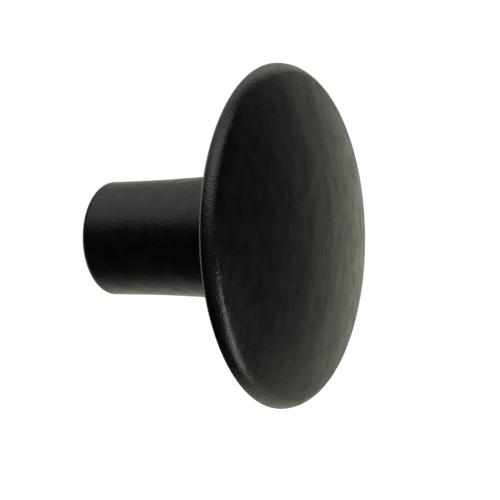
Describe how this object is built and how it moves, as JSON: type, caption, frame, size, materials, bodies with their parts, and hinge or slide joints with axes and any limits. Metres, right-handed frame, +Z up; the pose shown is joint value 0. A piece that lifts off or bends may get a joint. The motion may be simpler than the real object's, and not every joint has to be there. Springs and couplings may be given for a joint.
{
  "type": "cabinet knob",
  "caption": "Domed round cabinet knob on a slim flared stem, matt black, fixed from behind by a machine screw in a tapped blind hole.",
  "frame": {"origin": "centre of the flat end of the stem, which seats on the door or drawer front", "axes": "+Y along the knob's axis into the door or drawer front, -Y out of the domed face, +Z up"},
  "size_m": [0.035, 0.025, 0.035],
  "materials": {
    "black_coating": "matt black powder coating with a fine grain, over die-cast zinc alloy",
    "bare_zinc": "bright cut thread, uncoated die-cast zinc alloy"
  },
  "bodies": {
    "root": {"knob": "black_coating"}
  },
  "joints": []
}
